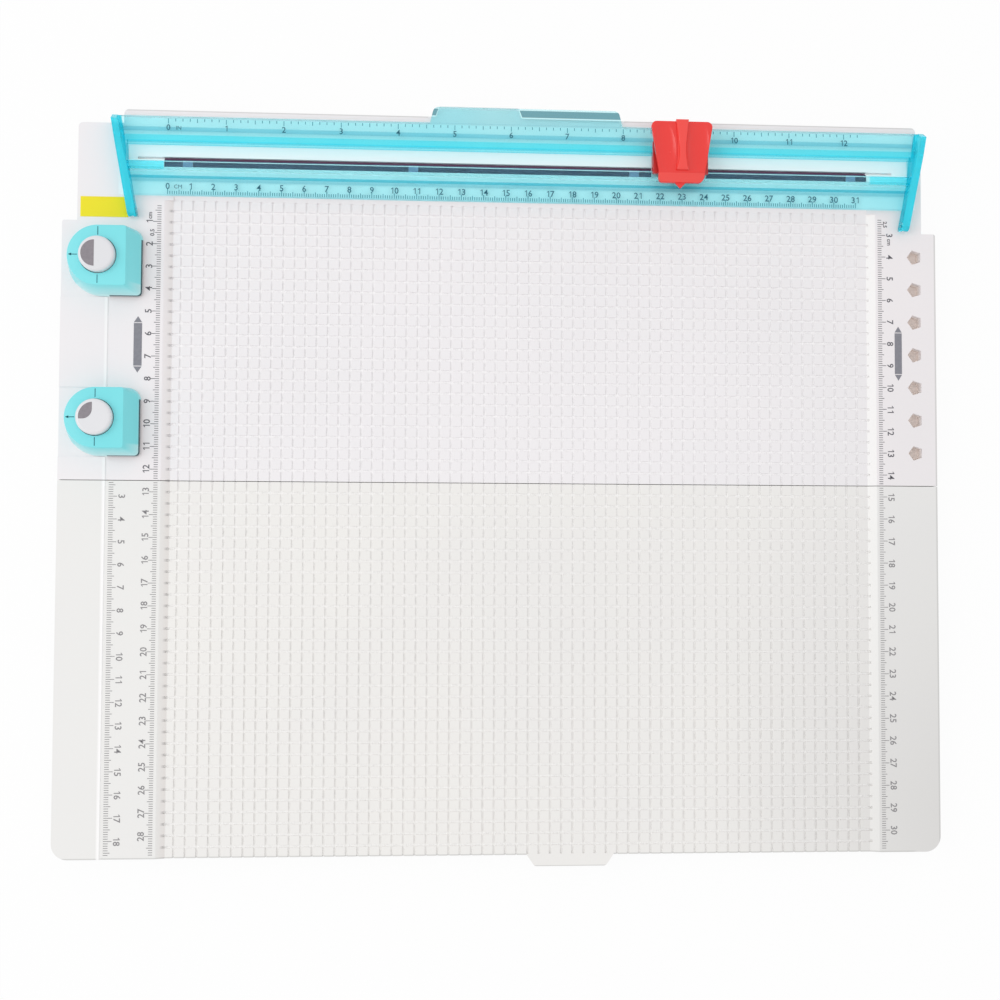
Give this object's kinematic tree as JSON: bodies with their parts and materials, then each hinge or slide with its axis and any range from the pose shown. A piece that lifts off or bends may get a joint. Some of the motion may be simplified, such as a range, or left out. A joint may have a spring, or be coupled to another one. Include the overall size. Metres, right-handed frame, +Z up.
{
  "type": "paper trimmer",
  "caption": "Folding desk board that scores and trims paper, with a grooved field, a lifting turquoise cutting rail, a red slider and corner punches",
  "frame": {"origin": "on the desk under the fold line, in the middle of the object's outline", "axes": "+X along the cutting rail to the right, +Y to the rear where the rail is, +Z up"},
  "size_m": [0.3938, 0.3396, 0.0284],
  "materials": {
    "board_white": "cool white moulded plastic, satin",
    "rail_turquoise": "translucent turquoise moulding, polished",
    "punch_turquoise": "translucent turquoise moulding",
    "slider_red": "bright red, slightly translucent",
    "slider_dark_red": "dark red moulding",
    "shoe_white": "low friction plastic",
    "button_white": "white, satin gloss",
    "strip_black": "black cutting plastic",
    "label_yellow": "plain yellow paper label",
    "foot_rubber": "grey black rubber",
    "blade_steel": "ground steel",
    "pin_steel": "drawn steel",
    "spring_steel": "spring wire",
    "screw_steel": "plated screw"
  },
  "bodies": {
    "base": {"rear_board": "board_white", "rear_bottom_cover": "board_white", "rear_cover_screws": "screw_steel", "rear_feet": "foot_rubber", "cutting_strip": "strip_black", "rail_pivot_pins": "pin_steel", "hinge_pins": "pin_steel", "side_label": "label_yellow", "upper_punch_housing": "punch_turquoise", "lower_punch_housing": "punch_turquoise", "upper_punch_die": "blade_steel", "lower_punch_die": "blade_steel", "upper_punch_spring": "spring_steel", "lower_punch_spring": "spring_steel", "punch_screws": "screw_steel"},
    "front_leaf": {"front_board": "board_white", "front_bottom_cover": "board_white", "front_cover_screws": "screw_steel", "front_feet": "foot_rubber"},
    "rail": {"cutting_rail": "rail_turquoise"},
    "slider": {"slider_carriage": "slider_dark_red", "slider_shoe": "shoe_white", "slider_screws": "screw_steel", "slider_springs": "spring_steel"},
    "press_cap": {"slider_cap": "slider_red", "blade_holder": "slider_dark_red", "blade": "blade_steel", "blade_pin": "pin_steel"},
    "upper_button": {"upper_punch_button": "button_white", "upper_punch_cutter": "blade_steel"},
    "lower_button": {"lower_punch_button": "button_white", "lower_punch_cutter": "blade_steel"}
  },
  "joints": [
    {"name": "fold", "type": "hinge", "parent": "base", "child": "front_leaf", "pos_m": [0, 0, 0.00185], "axis": [1, 0, 0], "range_deg": [0, 180]},
    {"name": "rail_lift", "type": "hinge", "parent": "base", "child": "rail", "pos_m": [0.00775, 0.1186, 0.0155], "axis": [1, 0, 0], "range_deg": [0, 45]},
    {"name": "slider_travel", "type": "slide", "parent": "rail", "child": "slider", "axis": [1, 0, 0], "range_m": [-0.23, 0.09]},
    {"name": "cap_press", "type": "slide", "parent": "slider", "child": "press_cap", "axis": [0, 0, -1], "range_m": [0, 0.0016], "stiffness_N_per_m": 800, "springref_m": -0.001, "deforming": ["slider_springs"]},
    {"name": "upper_button_press", "type": "slide", "parent": "base", "child": "upper_button", "axis": [0, 0, -1], "range_m": [0, 0.0033], "stiffness_N_per_m": 900, "springref_m": -0.001, "deforming": ["upper_punch_spring"]},
    {"name": "lower_button_press", "type": "slide", "parent": "base", "child": "lower_button", "axis": [0, 0, -1], "range_m": [0, 0.0033], "stiffness_N_per_m": 900, "springref_m": -0.001, "deforming": ["lower_punch_spring"]}
  ]
}
